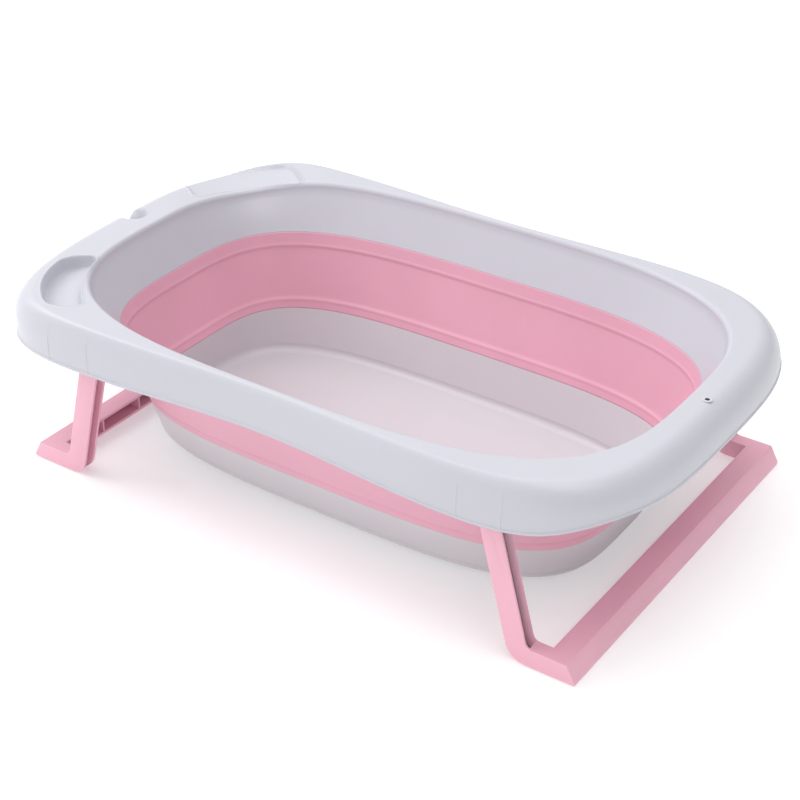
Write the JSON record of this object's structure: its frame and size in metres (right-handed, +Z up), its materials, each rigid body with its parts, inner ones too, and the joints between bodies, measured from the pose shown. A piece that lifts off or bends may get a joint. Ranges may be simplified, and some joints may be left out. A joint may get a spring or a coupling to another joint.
{
  "type": "pet bathtub",
  "caption": "Collapsible tub for washing a pet: rigid rim and basin joined by a soft folding band, on two U-shaped folding leg frames.",
  "frame": {"origin": "on the floor, under the middle of the rim", "axes": "+X along the tub toward the foot end, +Z up"},
  "size_m": [0.8201, 0.5055, 0.2112],
  "materials": {
    "rim_white": "smooth",
    "band_pink": "satin, soft",
    "basin_white": "smooth",
    "leg_pink": "satin",
    "steel": "plain",
    "pad_black": "matt",
    "seal_grey": "matt",
    "plug_pink": "satin",
    "eyelet_white": "smooth"
  },
  "bodies": {
    "rim": {"rim_shell": "rim_white", "collapsible_band": "band_pink", "hanging_eyelet": "eyelet_white", "pivot_pin_caps": "steel", "head_near_pivot_pin": "steel", "head_far_pivot_pin": "steel", "foot_near_pivot_pin": "steel", "foot_far_pivot_pin": "steel"},
    "basin": {"lower_basin": "basin_white", "drain_seat": "seal_grey"},
    "drain_stopper": {"drain_plug": "plug_pink"},
    "head_leg": {"head_leg_frame": "leg_pink", "head_near_pad": "pad_black", "head_far_pad": "pad_black"},
    "foot_leg": {"foot_leg_frame": "leg_pink", "foot_near_pad": "pad_black", "foot_far_pad": "pad_black"}
  },
  "joints": [
    {"name": "basin_collapse", "type": "slide", "parent": "rim", "child": "basin", "axis": [0, 0, 1], "range_m": [0, 0.1], "deforming": ["collapsible_band"]},
    {"name": "head_leg_fold", "type": "hinge", "parent": "rim", "child": "head_leg", "pos_m": [-0.238, 0, 0.175], "axis": [0, -1, 0], "range_deg": [0, 88]},
    {"name": "foot_leg_fold", "type": "hinge", "parent": "rim", "child": "foot_leg", "pos_m": [0.27, 0, 0.175], "axis": [0, 1, 0], "range_deg": [0, 88]},
    {"name": "drain_plug_lift", "type": "slide", "parent": "basin", "child": "drain_stopper", "axis": [0, 0, 1], "range_m": [0, 0.03]}
  ],
  "couplings": [
    {"joint": "head_leg_fold", "follows": "basin_collapse", "rad_per_m": 15.3},
    {"joint": "foot_leg_fold", "follows": "basin_collapse", "rad_per_m": 15.3}
  ]
}
